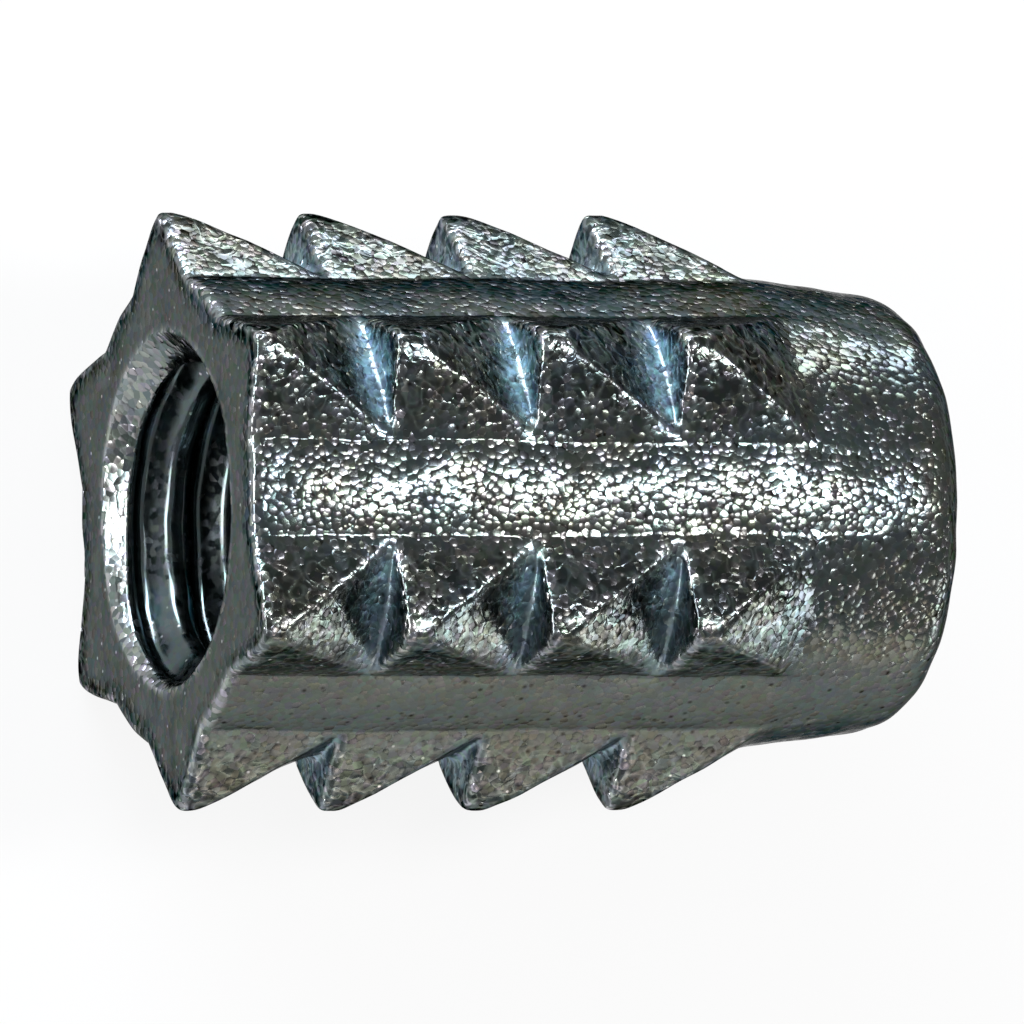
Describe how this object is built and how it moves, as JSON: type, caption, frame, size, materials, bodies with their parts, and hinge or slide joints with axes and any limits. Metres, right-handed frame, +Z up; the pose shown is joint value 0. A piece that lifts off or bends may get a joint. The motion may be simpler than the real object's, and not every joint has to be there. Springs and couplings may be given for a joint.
{
  "type": "threaded wood insert",
  "caption": "Cast zinc knock-in insert for wood: a round shank with rows of barbs, a flat head flush with the panel, a tapered lead end and a threaded through hole for a machine screw.",
  "frame": {"origin": "on the table that the insert lies on, under the middle of its length and under its axis", "axes": "+X along the insert's axis from the head to the lead end, +Z up, with the insert lying on two neighbouring rows of barbs"},
  "size_m": [0.013, 0.01, 0.0088],
  "materials": {
    "zinc": "zinc-plated zinc die casting, as cast, dark bluish grey"
  },
  "bodies": {
    "root": {"insert": "zinc"}
  },
  "joints": []
}
